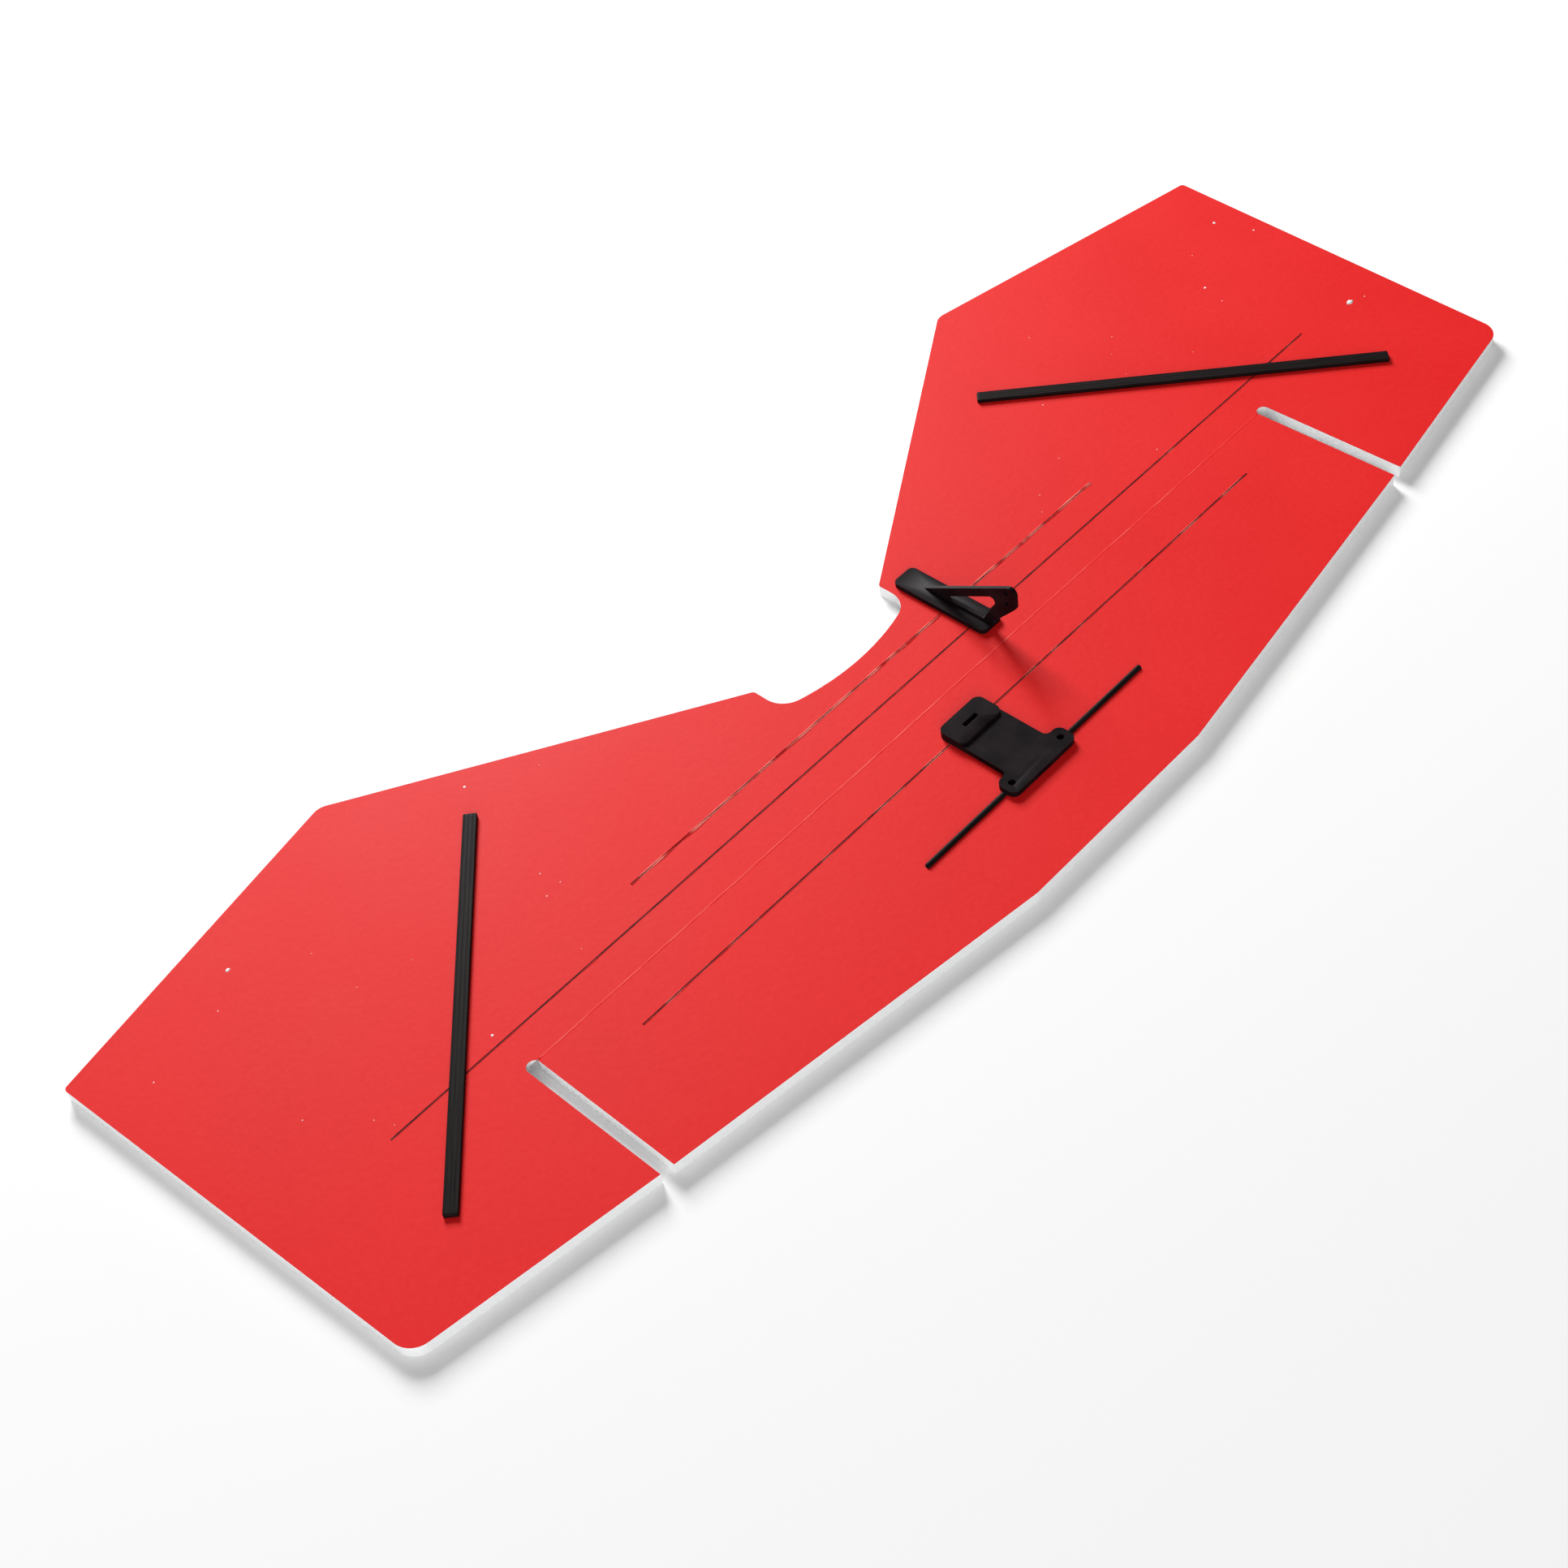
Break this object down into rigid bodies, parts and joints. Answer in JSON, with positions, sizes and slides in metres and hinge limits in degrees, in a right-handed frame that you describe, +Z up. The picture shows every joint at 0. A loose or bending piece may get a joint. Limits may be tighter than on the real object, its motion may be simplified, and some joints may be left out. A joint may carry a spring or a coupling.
{
  "type": "model aircraft tailplane",
  "caption": "Flat foam horizontal tail of a model plane: stabilizer and balanced elevator on a skin hinge, with control horn, mounting plate and carbon stiffeners.",
  "frame": {"origin": "on the underside of the stabilizer, on the centre line, below the middle of the mounting plate", "axes": "+X along the span to the right, +Y forward in flight, +Z up out of the coloured face"},
  "size_m": [0.3598, 0.1347, 0.0182],
  "materials": {
    "foam_white": "fine closed-cell foam, matt",
    "skin_red": "thin printed skin, satin",
    "carbon": "pultruded carbon, satin with faint lines",
    "plastic_black": "moulded nylon, semi-gloss"
  },
  "bodies": {
    "stabilizer": {"stabilizer_foam": "foam_white", "stabilizer_skin": "skin_red", "stabilizer_strip": "carbon", "cross_rod": "carbon", "mounting_plate": "plastic_black"},
    "elevator": {"elevator_foam": "foam_white", "elevator_skin": "skin_red", "main_strip": "carbon", "notch_strip": "carbon", "control_horn": "plastic_black", "left_stiffener": "carbon", "right_stiffener": "carbon"}
  },
  "joints": [
    {"name": "elevator_hinge", "type": "hinge", "parent": "stabilizer", "child": "elevator", "pos_m": [0, -0.0187, 0.00305], "axis": [1, 0, 0], "range_deg": [-30, 30], "stiffness_Nm_per_rad": 0.02}
  ]
}
